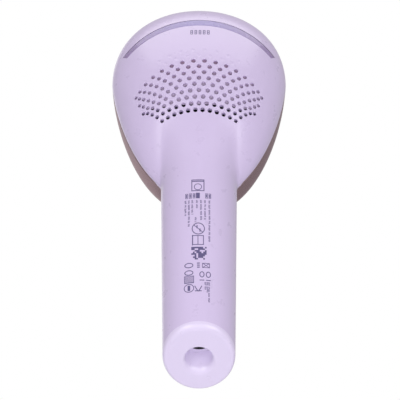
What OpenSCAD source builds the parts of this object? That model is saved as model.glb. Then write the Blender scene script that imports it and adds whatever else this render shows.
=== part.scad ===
// IPL hair remover: a flash lamp head on a round handle, with a pull-off treatment attachment.
// +Z runs up the handle into the head, -Y is the treatment side, +Y is the vented back.
// The origin is on the handle's axis, in the slanted end face, at the mouth of the power inlet.

/* [Handle] */
// Radius of the handle beside the power inlet
handle_r_low = 16.8; // [16.4:0.1:17.4]
// Radius of the handle where it enters the head
handle_r_top = 18.7; // [18.4:0.1:19.2]
// Slant of the end face from square to the handle
end_slant = 30; // [24:1:32]
// Y of the joint between the rear housing and the handle front
handle_seam_y = -6; // [-7:0.5:-5]
// Thickness of the outer shells
wall = 2.2; // [1.8:0.1:2.4]

/* [Head] */
// Half the head's width
head_half_w = 43.5; // [42.5:0.1:44.5]
// Height of the widest place
head_mid_z = 142; // [140:0.5:144]
// Height of the head's top
head_top_z = 183; // [181:0.5:186]
// Height at which the head's outline closes in the handle
head_tip_z = 78.8; // [78:0.2:80]
// Depth of the vented dome behind the seam
dome_depth = 27; // [25:0.5:29]
// Height at which the dome is deepest
dome_mid_z = 131; // [128:0.5:134]
// Gap that shows between the rear housing and the head cover
seam_gap = 0.8; // [0.4:0.1:1]
// Depth of the head cover in front of the seam
cover_depth = 37.2; // [36.8:0.1:37.6]

/* [Vents] */
// Number of vent rows
vent_rows = 9; // [5:1:9]
// Height of the lowest row at its middle
vent_low_z = 116.5; // [116:0.1:118]
// Rise from one row to the next
vent_rise = 3.22; // [3:0.01:3.3]
// Radius of a vent in the middle
vent_r = 1.15; // [0.9:0.05:1.2]

/* [Ready light] */
// Radius of the light strip's arc
strip_r = 47.8; // [47:0.1:48.5]
// Width of the light strip at its middle
strip_w = 4.1; // [3.4:0.1:4.4]
// Drop of the strip's middle below the head's top
strip_drop = 15.75; // [15:0.05:16.5]
// Half the angle that the strip spans
strip_half_angle = 49; // [40:1:50]

/* [Treatment window] */
// Height of the window's middle
window_z = 138; // [137:0.5:139]
// Width of the flash window
window_w = 32; // [30:0.5:32]
// Height of the flash window
window_h = 13; // [12:0.5:13]
// Width of the attachment
attachment_w = 52; // [51:0.5:53]
// Height of the attachment
attachment_h = 30; // [29.5:0.5:31]

/* [Power inlet] */
// Radius of the seat for the plug
inlet_r = 6.5; // [6:0.1:6.8]
// Radius of the hole in the power jack
jack_hole_r = 3.2; // [3:0.1:3.3]

/* [Travel] */
// Travel of the flash trigger
trigger_travel = 1.6; // [1:0.1:1.6]
// Travel of the two round buttons
button_travel = 0.8; // [0.4:0.1:0.8]
// Travel of the skin contact frame
contact_travel = 1.2; // [0.8:0.1:1.2]

/* [Hidden] */
$fn = 48;
slop = 0.01;
far = 200;
wire_ref = [0, 1, 0.3];
gap = 0.3;

// Handle: the cone runs between two heights that lie outside the finished shell
cone_z0 = -14;
cone_z1 = 96;
front_top_z = 92;
cap_t = 2.6;

// Head: exponents of the outline, the dome and the cover's round-over
outline_n = 2.15;
outline_p = 1.45;
outline_q = 0.47;
dome_n = 2.1;
ridge_z0 = 100;
ridge_z1 = 145;
ring_low_z = 85;
cover_n = 3;
collar_half_w = 29;
collar_half_h = 21;
nose_y = -seam_gap - cover_depth;

// Depths of the optical stack, from the fan towards the skin
plate_y = -2;
plate_t = 2.4;
sink_y = plate_y - plate_t;
lamp_y = -22;
lamp_box_y = -17;
glass_y = -31;
snout_y = -33;
snout_tip_y = -44;
bezel_t = 1.6;
bezel_y = nose_y - bezel_t;
attachment_y = bezel_y - 0.2;
attachment_face_y = -50.4;
contact_face_y = -52;
contact_back_y = -47.9;
groove_y = -46.4;

// Light strip: height of its arc's centre, and the shift that narrows its ends
strip_z = head_top_z - strip_drop - strip_r;
strip_taper = 5;

// Power inlet: the bore's seat, the funnel under it and the jack behind
end_drop = 1.6;
inlet_seat_z = 4;
funnel_h = 0.4;
cap_boss_h = 9;
inlet_boss = 8;
jack_z = 6.5;
jack_r = 4.6;
jack_l = 9.5;

// Fan
fan_z = 129;
fan_side = 40;
fan_bore_r = 19;
fan_depth = 10;
hub_r = 8.5;
blade_count = 7;
duct_l = 7;

// Mirror behind the lamp
reflector_l = 40;

// Boards and controls
ui_y = -9;
ui_t = 1.2;
ui_face_y = ui_y - ui_t;
board_y = -5.4;
board_t = 1.6;
capacitor_y = 5;
trigger_z = 68.5;
confirm_z = 47;
lens_z = 33.5;
power_z = 18.5;
boss_r = 2.6;
bosses = [[-30, 146], [30, 146], [-18, 106], [18, 106]];

lilac = "#d6c9ea";
rose = "#9a8288";
black = "#1c1c20";

// ---- Shapes by formula ----

function handle_r(z) =
    handle_r_low + (handle_r_top - handle_r_low) * (z - cone_z0) / (cone_z1 - cone_z0);

function sign_pow(v, e) = sign(v) * pow(abs(v), e);

// Half width of the head's outline, grown by g
function outline_w(z, g) =
    z >= head_mid_z
    ? (head_half_w + g) * pow(max(0, 1 - pow((z - head_mid_z) / (head_top_z + g - head_mid_z), outline_n)),
                              1 / outline_n)
    : (head_half_w + g) * pow(max(0, 1 - pow((head_mid_z - z) / (head_mid_z + g - head_tip_z), outline_p)), outline_q);

// Depth of the dome on the middle line, grown by g
function dome_y(z, g) =
    z >= dome_mid_z
    ? (dome_depth + g) * pow(max(0, 1 - pow((z - dome_mid_z) / (head_top_z + g - dome_mid_z), dome_n)), 1 / dome_n)
    : (dome_depth + g) * pow(max(0, 1 - pow((dome_mid_z - z) / (dome_mid_z + g - head_tip_z), 1.6)), 0.9);

// How much of the handle's ridge is left at this height
function ridge(z) =
    z < ridge_z0 ? 1 : z > ridge_z1 ? 0 : (1 + cos(180 * (z - ridge_z0) / (ridge_z1 - ridge_z0))) / 2;

// The back's surface: the dome and the handle's ridge flow into each other
function back_y(x, z, g) =
    let (w = max(outline_w(z, g), slop),
         dome = dome_y(z, g) * sqrt(max(0, 1 - pow(x / w, 2))),
         round = ridge(z) * sqrt(max(0, pow(handle_r(z) + g, 2) - x * x)))
    pow(pow(dome, 4) + pow(round, 4), 0.25);

// A boss ends inside the shell at its shallowest corner
function boss_end(b) =
    min([for (dx = [-boss_r, boss_r], dz = [-boss_r, boss_r]) back_y(b[0] + dx, b[1] + dz, -wall / 2)]);

// One level cut through the back, closed along y = floor_y
function back_ring(z, g, floor_y) =
    let (w = z < head_mid_z ? max(outline_w(z, g), handle_r(z) + g) : outline_w(z, g))
    concat([[w, floor_y, z]],
           [for (t = [0:6:180]) [w * cos(t), max(back_y(w * cos(t), z, g), floor_y + slop), z]],
           [[-w, floor_y, z]]);

// A point of the head's outline at u degrees from the top, grown by g
function outline_point(u, g) =
    cos(u) >= 0
    ? [(head_half_w + g) * sign_pow(sin(u), 2 / outline_n),
       head_mid_z + (head_top_z + g - head_mid_z) * pow(cos(u), 2 / outline_n)]
    : [(head_half_w + g) * sign_pow(sin(u), 2 * outline_q),
       head_mid_z - (head_mid_z + g - head_tip_z) * pow(-cos(u), 2 / outline_p)];

// A point of the oblong collar at the nose, grown by g
function collar_point(u, g) =
    [(collar_half_w + g) * sign_pow(sin(u), 0.5),
     window_z + (collar_half_h + g) * sign_pow(cos(u), 0.5)];

// One upright cut through the cover: v = 0 at the seam, 90 at the nose
function cover_ring(v, g) =
    let (k = 1 - pow(cos(v), 2 / cover_n),
         y = -seam_gap - (cover_depth + g) * pow(sin(v), 2 / cover_n))
    [for (u = [360:-5:5])
        let (a = outline_point(u, g), b = collar_point(u, g))
        [a[0] + (b[0] - a[0]) * k, y, a[1] + (b[1] - a[1]) * k]];

// Closed skin through rings of equal length
module loft(rings) {
    n = len(rings[0]);
    last = (len(rings) - 1) * n;
    points = [for (ring = rings) each ring];
    sides = [for (j = [0:len(rings) - 2]) for (i = [0:n - 1])
        let (a = j * n + i, b = j * n + (i + 1) % n)
        each [[a, a + n, b + n], [a, b + n, b]]];
    caps = [[for (i = [0:n - 1]) i], [for (i = [n - 1:-1:0]) last + i]];
    polyhedron(points, concat(sides, caps), convexity = 6);
}

module back_solid(g, floor_y) {
    low = [for (z = [ring_low_z:4:head_mid_z - 1]) back_ring(z, g, floor_y)];
    high = [for (v = [0:6:84])
        back_ring(head_mid_z + (head_top_z + g - head_mid_z) * pow(sin(v), 2 / outline_n), g, floor_y)];
    loft(concat(low, high));
}

module cover_solid(g) {
    front = [for (v = [0:6:84]) cover_ring(v, g)];
    nose = cover_ring(90, g);
    back = g < 0 ? [[for (p = front[0]) [p[0], 1, p[2]]]] : [];
    loft(concat(back, front, [nose]));
}

module cone(g) {
    translate([0, 0, cone_z0])
        cylinder(h = cone_z1 - cone_z0, r1 = handle_r(cone_z0) + g, r2 = handle_r(cone_z1) + g, $fn = 96);
}

// Everything below the slanted end face, moved inwards by d
module below_end(d) {
    rotate([end_slant, 0, 0])
        translate([-far / 2, -far / 2, d - end_drop - far])
            cube(far);
}

// Plate from a drawing in x and z: its back is at y_back and it grows towards the skin
module plate(y_back, depth) {
    translate([0, y_back, 0])
        rotate([90, 0, 0])
            linear_extrude(depth)
                children();
}

module rounded(w, h, r) {
    square([w - 2 * r, h], center = true);
    square([w, h - 2 * r], center = true);
    for (sx = [-1, 1], sy = [-1, 1])
        translate([sx * (w / 2 - r), sy * (h / 2 - r)])
            circle(r);
}

// Oblong ring around the window's axis
module window_ring(y_back, depth, outer, inner) {
    plate(y_back, depth)
        translate([0, window_z])
            difference() {
                rounded(outer[0], outer[1], outer[2]);
                rounded(inner[0], inner[1], inner[2]);
            }
}

module rod_y(x, z, y_front, y_back, r) {
    translate([x, y_back, z])
        rotate([90, 0, 0])
            cylinder(h = y_back - y_front, r = r);
}

function unit(v) = v / norm(v);

// Ring of the wire at point i, square to the bisector of its two stretches
function wire_ring(points, i, r) =
    let (last = len(points) - 1,
         into = unit(points[max(i, 1)] - points[max(i, 1) - 1]),
         out = unit(points[min(i, last - 1) + 1] - points[min(i, last - 1)]),
         along = unit(into + out),
         side = unit(cross(along, wire_ref)),
         up = cross(side, along))
    [for (a = [0:45:315]) points[i] + r * (cos(a) * up + sin(a) * side)];

// Round wire through a list of points
module wire(points, r) {
    loft([for (i = [0:len(points) - 1]) wire_ring(points, i, r)]);
}

// ---- Vents and light strip ----

function vent_count(i) = i < 5 ? 12 + i : 15 + (i + 1) % 2;
function vent_pitch(i) = 3.5 + 0.245 * i;
function vent_arc_r(i) = 37.5 + 8 * max(0, cos(22.5 * i));

// Middle of vent k of row i, counted from the middle line
function vent_at(i, k) =
    let (x = vent_pitch(i) * k * (1 - (0.0025 + 0.00025 * i) * k * k), r = vent_arc_r(i))
    [x, vent_low_z + vent_rise * i - r + sqrt(r * r - x * x)];

module vents() {
    for (i = [0:vent_rows - 1]) {
        half = (vent_count(i) - 1) / 2;
        for (k = [-half:1:half]) {
            at = vent_at(i, k);
            r = vent_r - 0.35 * pow(abs(k) / 7.5, 1.5);
            hull()
                for (y = [6, 40])
                    translate([at[0], y, at[1]])
                        rotate([90, 0, 0])
                            cylinder(h = 1, r = r, $fn = 6);
        }
    }
}

// The strip's outline in x and z, grown by g: its two arcs draw together towards the ends
module strip_outline(g) {
    reach = far / 2;
    translate([0, strip_z])
        intersection() {
            difference() {
                circle(strip_r + strip_w / 2 + g, $fn = 180);
                translate([0, -strip_taper])
                    circle(strip_r - strip_w / 2 + strip_taper - g, $fn = 180);
            }
            polygon([[0, 0],
                     [reach * tan(strip_half_angle + g), reach], [-reach * tan(strip_half_angle + g), reach]]);
        }
}

// ---- Shells ----

module rear_housing() color(lilac) {
    difference() {
        union() {
            back_solid(0, 0);
            difference() {
                cone(0);
                translate([-far / 2, -far, -far])
                    cube([far, far + handle_seam_y, 2 * far]);
                translate([-far / 2, -far / 2, 89])
                    cube(far);
            }
        }
        difference() {
            back_solid(-wall, -1);
            translate([-far / 2, -far / 2, ring_low_z - far])
                cube(far);
        }
        cone(-wall);
        below_end(cap_t);
        vents();
        plate(40, 39)
            strip_outline(0.15);
    }
    for (b = bosses)
        difference() {
            rod_y(b[0], b[1], plate_y, boss_end(b), boss_r);
            rod_y(b[0], b[1], plate_y - slop, plate_y + 7, 1);
        }
}

module control_openings() {
    plate(0, 30)
        translate([0, trigger_z])
            rounded(14 + 2 * gap, 17 + 2 * gap, 4);
    rod_y(0, confirm_z, -30, 0, 3.4 + gap);
    rod_y(0, power_z, -30, 0, 5 + gap);
    plate(0, 30)
        translate([0, lens_z])
            rounded(4.4 + 0.2, 18 + 0.2, 2.2);
}

module front_housing() color(lilac) {
    difference() {
        cone(0);
        cone(-wall);
        below_end(cap_t);
        translate([-far / 2, handle_seam_y - 0.05, -far])
            cube([far, far, 2 * far]);
        translate([-far / 2, -far / 2, front_top_z])
            cube(far);
        control_openings();
    }
}

module head_cover() color(rose) {
    difference() {
        cover_solid(0);
        cover_solid(-wall);
        cone(0.25);
        plate(nose_y + 10, 20)
            translate([0, window_z])
                rounded(41, 21, 5);
        plate(nose_y + 10, 20)
            translate([0, window_z - 18.1])
                rounded(7.2, 3, 1.5);
        for (sx = [-1, 1], sz = [-1, 1])
            rod_y(sx * 22.2, window_z + sz * 4, nose_y - 1, nose_y + 10, 0.9);
    }
}

module end_cap() color("#e6def2") {
    difference() {
        union() {
            intersection() {
                cone(0);
                below_end(cap_t);
            }
            translate([0, 0, -inlet_boss])
                cylinder(h = inlet_boss + cap_boss_h, r = 9);
        }
        below_end(0);
        translate([0, 0, -far])
            cylinder(h = far + inlet_seat_z, r = inlet_r, $fn = 96);
        translate([0, 0, inlet_seat_z - slop])
            cylinder(h = funnel_h + slop, r1 = inlet_r, r2 = jack_hole_r + 0.2);
        translate([0, 0, inlet_seat_z])
            cylinder(h = cap_boss_h, r = jack_hole_r + 0.2);
        translate([0, 0, jack_z - 0.1])
            cylinder(h = cap_boss_h, r = jack_r + 0.1);
    }
}

// ---- Ready light ----

module ready_light_guide() color("#a99cc9") {
    intersection() {
        difference() {
            back_solid(0, 0);
            back_solid(-4, -1);
        }
        plate(40, 38)
            strip_outline(0);
    }
}

module ready_led_board() color("seagreen") {
    plate(9, 1.2)
        translate([0, strip_z])
            intersection() {
                difference() {
                    circle(strip_r + 2, $fn = 96);
                    circle(strip_r - 4, $fn = 96);
                }
                polygon([[0, 0], [far / 2, far / 1.5], [-far / 2, far / 1.5]]);
            }
}

module ready_leds() color("white") {
    for (a = [-30:15:30])
        translate([0, 9, strip_z])
            rotate([0, a, 0])
                translate([-1.5, 0, strip_r - 2.4])
                    cube([3, 1, 1.6]);
}

// ---- Chassis, fan and cooling ----

module inner_chassis() color("#e8e8ea") {
    difference() {
        plate(plate_y, plate_t)
            difference() {
                polygon([[-38.5, 150], [38.5, 150], [38.5, 141], [26, 103], [-26, 103], [-38.5, 141]]);
                translate([0, fan_z])
                    circle(fan_bore_r - 1, $fn = 96);
                for (sx = [-1, 1])
                    translate([sx * 30, 130])
                        rounded(6, 12, 2);
            }
        for (b = bosses)
            rod_y(b[0], b[1], -10, 0, 1.2);
        for (sx = [-1, 1], sz = [-1, 1])
            rod_y(sx * 16, fan_z + sz * 16, -10, 0, 0.9);
    }
}

// Pan head screw along Y with its head towards the skin
module screw(x, z, y_head, length, r) {
    rod_y(x, z, y_head, y_head + length, r);
    difference() {
        rod_y(x, z, y_head - 1.3, y_head, 2 * r);
        translate([x - 0.3, y_head - 2, z - 1.4 * r])
            cube([0.6, 1.3, 2.8 * r]);
        translate([x - 1.4 * r, y_head - 2, z - 0.3])
            cube([2.8 * r, 1.3, 0.6]);
    }
}

module chassis_screws() color("silver") {
    for (b = bosses)
        screw(b[0], b[1], plate_y - plate_t, 8, 1);
}

module fan_screws() color("silver") {
    for (sx = [-1, 1], sz = [-1, 1])
        translate([0, 2 * (plate_y + fan_depth), 0])
            mirror([0, 1, 0])
                screw(sx * 16, fan_z + sz * 16, plate_y + fan_depth, 11, 0.9);
}

module air_duct() color("#c9bdd8") {
    y0 = plate_y + fan_depth;
    translate([0, y0, fan_z])
        rotate([-90, 0, 0])
            difference() {
                cylinder(h = duct_l, r1 = 21, r2 = 26, $fn = 96);
                translate([0, 0, -slop])
                    cylinder(h = duct_l + 2 * slop, r1 = 19.6, r2 = 24.8, $fn = 96);
                for (a = [45:90:315])
                    rotate([0, 0, a])
                        translate([16 * sqrt(2), 0, -slop])
                            cylinder(h = 1.6, r = 2.6);
            }
}

module vent_screen() color("#8d84a0") {
    y0 = plate_y + fan_depth + duct_l;
    plate(y0 + 0.8, 0.8)
        translate([0, fan_z]) {
            difference() {
                circle(26, $fn = 96);
                circle(24, $fn = 96);
            }
            for (i = [-4:4]) {
                reach = sqrt(24.5 * 24.5 - 25 * i * i);
                translate([5 * i, 0])
                    square([0.7, 2 * reach], center = true);
                translate([0, 5 * i])
                    square([2 * reach, 0.7], center = true);
            }
        }
}

module fan_frame() color(black) {
    plate(plate_y + fan_depth, fan_depth)
        translate([0, fan_z])
            difference() {
                rounded(fan_side, fan_side, 3);
                circle(fan_bore_r, $fn = 96);
                for (sx = [-1, 1], sy = [-1, 1])
                    translate([sx * 16, sy * 16])
                        circle(1.1);
            }
    plate(plate_y + 1.2, 1.2)
        translate([0, fan_z])
            difference() {
                union() {
                    circle(hub_r, $fn = 64);
                    for (a = [0:120:240])
                        rotate(a)
                            translate([0, -1])
                                square([fan_bore_r + 0.4, 2]);
                }
                circle(1.05);
            }
}

module fan_rotor() color("#34343a") {
    y0 = plate_y + 1.7;
    translate([0, y0, fan_z])
        rotate([-90, 0, 0]) {
            cylinder(h = 7, r = hub_r, $fn = 64);
            translate([0, 0, -1.5])
                cylinder(h = 2, r = 1);
            intersection() {
                for (a = [0:360 / blade_count:359])
                    rotate([0, 0, a])
                        translate([hub_r - 1, 0, 3.5])
                            rotate([38, 0, 0])
                                translate([0, -4.6, -0.5])
                                    cube([11, 9.2, 1]);
                cylinder(h = 7, r = fan_bore_r - 0.8, $fn = 64);
            }
        }
}

module heatsink() color("lightgray") {
    plate(lamp_box_y + 3, 3)
        translate([0, window_z])
            square([40, 24], center = true);
    for (x = [-19:4:17])
        translate([x, lamp_box_y + 3 - slop, window_z - 12])
            cube([1.4, sink_y - lamp_box_y - 3 + slop, 24]);
}

// ---- Lamp ----

module lamp_housing() color("#efeadf") {
    difference() {
        window_ring(lamp_box_y, lamp_box_y - glass_y, [52, 26, 2], [48, 22, 1]);
        for (sx = [-1, 1])
            translate([sx * 26, lamp_y, window_z])
                rotate([0, 90, 0])
                    cylinder(h = 8, r = 2.7, center = true);
    }
}

// Half the opening of the mirror at depth t from its bottom, t from 0 to 1
function mirror_half(t, g) = (8.4 + g) * sqrt(t);

module reflector() color("#dfe3e8") {
    depth = 12;
    bottom_y = lamp_box_y - 0.8;
    steps = [0:0.1:1];
    outer = [for (t = steps) [bottom_y - depth * t, mirror_half(t, 0.6) + 0.4]];
    inner = [for (t = steps) [bottom_y - 0.7 - (depth - 0.7) * t, mirror_half(t, 0)]];
    right = concat(outer, [for (i = [len(inner) - 1:-1:0]) inner[i]]);
    translate([-reflector_l / 2, 0, window_z])
        for (s = [0, 1])
            mirror([0, 0, s])
                rotate([90, 0, 90])
                    linear_extrude(reflector_l)
                        polygon(right);
    translate([-reflector_l / 2, bottom_y - 0.7, window_z - 0.5])
        cube([reflector_l, 0.7, 1]);
}

module flash_lamp() color("lavender", 0.6) {
    translate([-21, lamp_y, window_z])
        rotate([0, 90, 0])
            difference() {
                cylinder(h = 42, r = 2.4);
                translate([0, 0, 1.2])
                    cylinder(h = 39.6, r = 1.7);
            }
}

module lamp_electrodes() color("silver") {
    for (s = [0, 1])
        mirror([s, 0, 0])
            translate([21, lamp_y, window_z])
                rotate([0, 90, 0]) {
                    cylinder(h = 1.4, r = 2.2);
                    cylinder(h = 7.5, r = 0.6);
                }
}

module lamp_holders() color("firebrick") {
    for (s = [0, 1])
        mirror([s, 0, 0])
            translate([24, lamp_y, window_z])
                rotate([0, 90, 0])
                    difference() {
                        union() {
                            cylinder(h = 2, r = 2.6);
                            translate([0, 0, 2])
                                cylinder(h = 1.6, r = 4);
                        }
                        translate([0, 0, -1])
                            cylinder(h = 6, r = 0.65);
                    }
}

module igniter_transformer() color("#5a4632") {
    translate([-9, lamp_y - 5, window_z - 25.5])
        cube([18, 11, 12.3]);
    translate([0, lamp_y + 6, window_z - 19.5])
        rotate([-90, 0, 0])
            cylinder(h = 11.6, r = 4);
}

module filter_glass() color("orange", 0.5) {
    plate(glass_y, 2)
        translate([0, window_z])
            rounded(38, 18, 1);
}

module snout_frame() color("#f0e6d6") {
    inner = [window_w, window_h, 1.5];
    window_ring(snout_y, 1.6, [50, 26, 2], inner);
    difference() {
        window_ring(snout_y - 1.6, snout_y - 1.6 - snout_tip_y, [38, 18, 3], inner);
        window_ring(snout_tip_y + 2, 4, [window_w + 1.4, window_h + 1.4, 1.5], [1, 1, 0.2]);
    }
}

module exit_glass() color("aliceblue", 0.5) {
    plate(snout_tip_y + 2, 1.5)
        translate([0, window_z])
            rounded(window_w + 1.2, window_h + 1.2, 1.4);
}

module snout_gasket() color(black) {
    window_ring(nose_y + wall, wall, [40.8, 20.8, 4.9], [38.2, 18.2, 3.1]);
}

module nose_bezel() color("#d8b48e") {
    difference() {
        window_ring(nose_y, bezel_t, [50, 28, 8], [38.2, 18.2, 3]);
        for (sx = [-1, 1], sz = [-1, 1])
            rod_y(sx * 22.2, window_z + sz * 4, bezel_y - 1, nose_y + 1, 0.8);
    }
}

module coding_pins() color("gold") {
    for (sx = [-1, 1], sz = [-1, 1])
        rod_y(sx * 22.2, window_z + sz * 4, bezel_y - 1, nose_y + 3, 0.7);
}

module skin_sensor() color("#26222c") {
    plate(nose_y + 3, 3.3)
        translate([0, window_z - 18.1])
            rounded(7, 2.8, 1.3);
}

// ---- Attachment ----

module attachment_shell() color("#f3eef8") {
    difference() {
        plate(attachment_y, attachment_y - attachment_face_y)
            translate([0, window_z])
                rounded(attachment_w, attachment_h, 9);
        plate(attachment_y + 1, attachment_y + 1 - snout_tip_y + 0.5)
            translate([0, window_z])
                rounded(38.6, 18.6, 3.3);
        plate(attachment_y, 20)
            translate([0, window_z])
                rounded(window_w + 1, window_h + 1, 2);
        window_ring(groove_y, 10, [47, 25.6, 7.8], [37, 17, 3]);
        for (sx = [-1, 1], sz = [-1, 1])
            rod_y(sx * 22.2, window_z + sz * 4, attachment_y - 2.2, attachment_y + 1, 1.1);
    }
}

module attachment_window() color("lightcyan", 0.5) {
    plate(attachment_face_y + 1.8, 1.4)
        translate([0, window_z])
            rounded(window_w + 0.9, window_h + 0.9, 1.9);
}

module attachment_mirror() color("gainsboro") {
    y_back = snout_tip_y - 0.4;
    window_ring(y_back, y_back - attachment_face_y - 1.8, [window_w + 0.9, window_h + 0.9, 1.9],
                [window_w, window_h, 1.5]);
}

module coding_pads() color("gold") {
    for (sx = [-1, 1], sz = [-1, 1])
        rod_y(sx * 22.2, window_z + sz * 4, attachment_y - 2.2, attachment_y - 1.2, 1.1);
}

module contact_frame() color("white") {
    window_ring(contact_back_y, contact_back_y - contact_face_y, [46.4, 25, 7.5], [37.6, 17.6, 3.3]);
}

module contact_springs() color("silver") {
    for (sx = [-1, 1], sz = [-1, 1])
        translate([sx * 18.4, 0, window_z + sz * 10.7])
            difference() {
                rod_y(0, 0, contact_back_y, groove_y, 1.3);
                rod_y(0, 0, contact_back_y - 1, groove_y + 1, 0.9);
            }
}

// ---- Boards and power ----

module main_board() color("seagreen") {
    difference() {
        translate([-12.5, board_y - board_t, 16])
            cube([25, board_t, 84]);
        for (z = [20, 96], sx = [-1, 1])
            rod_y(sx * 10, z, -20, 0, 1.1);
    }
}

module board_screws() color("silver") {
    for (z = [20, 96], sx = [-1, 1])
        screw(sx * 10, z, board_y - board_t, 4, 1);
}

module charging_transformer() color("#c8a24a") {
    translate([-8, board_y, 74])
        cube([16, 3, 16]);
    translate([-9, board_y + 3, 76])
        cube([18, 8, 12]);
    translate([-8, board_y + 11, 74])
        cube([16, 2, 16]);
}

module board_components() color("#3b3b44") {
    translate([-6, board_y, 92])
        cube([6, 1.2, 6]);
    translate([3, board_y, 92])
        cube([5, 2.4, 5]);
    for (x = [-9, 6.5])
        translate([x, board_y, 69.5])
            cube([2.5, 3, 3.2]);
    for (z = [28:14:56])
        translate([-11.5, board_y, z])
            cube([2, 1, 4]);
    translate([-4, board_y, 16.4])
        cube([8, 3, 3]);
}

module storage_capacitor() color("#23305c") {
    translate([0, capacitor_y, 22])
        difference() {
            cylinder(h = 46, r = 9.4, $fn = 64);
            translate([0, 0, 45.6])
                rotate_extrude($fn = 64)
                    translate([7.6, 0])
                        square([0.8, 1]);
        }
}

module capacitor_clip() color("#e8e8ea") {
    translate([0, capacitor_y, 40])
        difference() {
            union() {
                cylinder(h = 8, r = 10.2, $fn = 64);
                translate([-12, -6, 0])
                    cube([24, 4, 8]);
            }
            translate([0, 0, -1])
                cylinder(h = 10, r = 9.4, $fn = 64);
            translate([-20, -25, -1])
                cube([40, 18, 10]);
        }
}

module ui_board() color("darkgreen") {
    translate([-9, ui_face_y, 12])
        cube([18, ui_t, 66]);
}

module ui_leds() color("white") {
    for (i = [-2:2])
        translate([-1, ui_face_y - 0.8, lens_z + 3.5 * i - 0.6])
            cube([2, 0.8, 1.2]);
}

module indicator_lens() color("#c8d8f4", 0.7) {
    intersection() {
        plate(-15, 8)
            translate([0, lens_z])
                rounded(4.4, 18, 2.1);
        cone(0.1);
    }
    for (i = [-2:2])
        rod_y(0, lens_z + 3.5 * i, -15.1, ui_face_y - 0.8, 0.9);
}

// ---- Controls ----

module trigger_button() color("#b7a2d6") {
    difference() {
        union() {
            intersection() {
                plate(-13, 12)
                    translate([0, trigger_z])
                        rounded(14, 17, 3.7);
                cone(1.7);
            }
            plate(-12.6, 1)
                translate([0, trigger_z])
                    rounded(15.6, 20, 3);
        }
        plate(-12, 5)
            translate([0, trigger_z])
                rounded(9, 12, 2);
    }
}

module trigger_stem() color("#e8e8ea") {
    rod_y(0, trigger_z, -17, -12.2, 1.6);
}

module trigger_spring() color("silver") {
    difference() {
        rod_y(0, trigger_z, -17, -13.4, 3);
        rod_y(0, trigger_z, -18, -13, 2.4);
    }
}

// Small push switch on the control board with a well for the stem
module push_switch(z, height, well_r) {
    difference() {
        translate([-3, ui_face_y - height, z - 3])
            cube([6, height, 6]);
        rod_y(0, z, ui_face_y - height - 1, ui_face_y - 0.3, well_r);
    }
}

module trigger_switch() color(black) {
    push_switch(trigger_z, 3.2, 1.7);
}

module round_button(z, r, proud) {
    intersection() {
        rod_y(0, z, -30, -13.4, r);
        cone(proud);
    }
    rod_y(0, z, -13.9, -13.1, r + 0.9);
    rod_y(0, z, -13.2, ui_face_y - 1.2, 1.5);
}

module power_button() color("#efe9f6") {
    round_button(power_z, 5, 0.5);
}

module power_switch() color(black) {
    push_switch(power_z, 1.7, 1.6);
}

module confirm_button() color("#efe9f6") {
    round_button(confirm_z, 3.4, 0.4);
}

module confirm_switch() color(black) {
    push_switch(confirm_z, 1.7, 1.6);
}

// ---- Power inlet ----

module dc_jack() color(black) {
    difference() {
        union() {
            translate([0, 0, jack_z])
                cylinder(h = jack_l, r = jack_r);
            translate([0, 0, 10])
                cylinder(h = 1.5, r = 6.4);
        }
        translate([0, 0, jack_z - 0.5])
            cylinder(h = 8.5, r = jack_hole_r);
        translate([0, 0, 14])
            cylinder(h = 3, r = 1);
    }
}

module jack_pin() color("silver") {
    translate([0, 0, 8.2])
        cylinder(h = 8.8, r = 1);
}

module jack_seal() color("dimgray") {
    translate([0, 0, 9])
        difference() {
            cylinder(h = 1, r = 6.2);
            translate([0, 0, -1])
                cylinder(h = 3, r = 4.7);
        }
}

// ---- Wires ----

module dc_leads() color("crimson") {
    for (sx = [-1, 1])
        wire([[sx * 2.8, 0.5, 16], [sx * 2.8, 0.5, 18.5], [sx * 2.8, -2.2, 20.4]], 0.55);
}

module lamp_leads() color("white") {
    for (sx = [-1, 1])
        wire([[sx * 9, -9.4, 94], [sx * 12, -12, 100], [sx * 20, -14, 112],
              [sx * 31, -18, 128], [sx * 31, -22, 138], [sx * 28.6, -22, 138]], 0.9);
}

module fan_lead() color("crimson") {
    wire([[5, -4.4, 98.2], [7, 2, 101], [11.5, 3, 104.5], [13.5, 3, 108.3]], 0.7);
}

module ready_lead() color("crimson") {
    wire([[-3, -4.4, 98.9], [-9, 1, 100], [-22, 1, 103], [-25, 3, 112], [-25, 5, 150], [-22, 7.9, 156.6]],
         0.6);
}

module ui_cable() color("#b9b9c4") {
    translate([-5, ui_y, 76.5])
        cube([10, board_y - board_t - ui_y, 0.4]);
}

rear_housing();
front_housing();
head_cover();
end_cap();
ready_light_guide();
ready_led_board();
ready_leds();
inner_chassis();
chassis_screws();
air_duct();
vent_screen();
fan_frame();
fan_rotor();
fan_screws();
heatsink();
lamp_housing();
reflector();
flash_lamp();
lamp_electrodes();
lamp_holders();
igniter_transformer();
filter_glass();
snout_frame();
snout_gasket();
exit_glass();
nose_bezel();
coding_pins();
skin_sensor();
attachment_shell();
attachment_window();
attachment_mirror();
coding_pads();
contact_frame();
contact_springs();
main_board();
charging_transformer();
board_components();
board_screws();
storage_capacitor();
capacitor_clip();
ui_board();
ui_leds();
indicator_lens();
trigger_button();
trigger_spring();
trigger_stem();
trigger_switch();
power_button();
power_switch();
confirm_button();
confirm_switch();
dc_jack();
jack_pin();
jack_seal();
dc_leads();
lamp_leads();
fan_lead();
ready_lead();
ui_cable();
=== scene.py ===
import math

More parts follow.
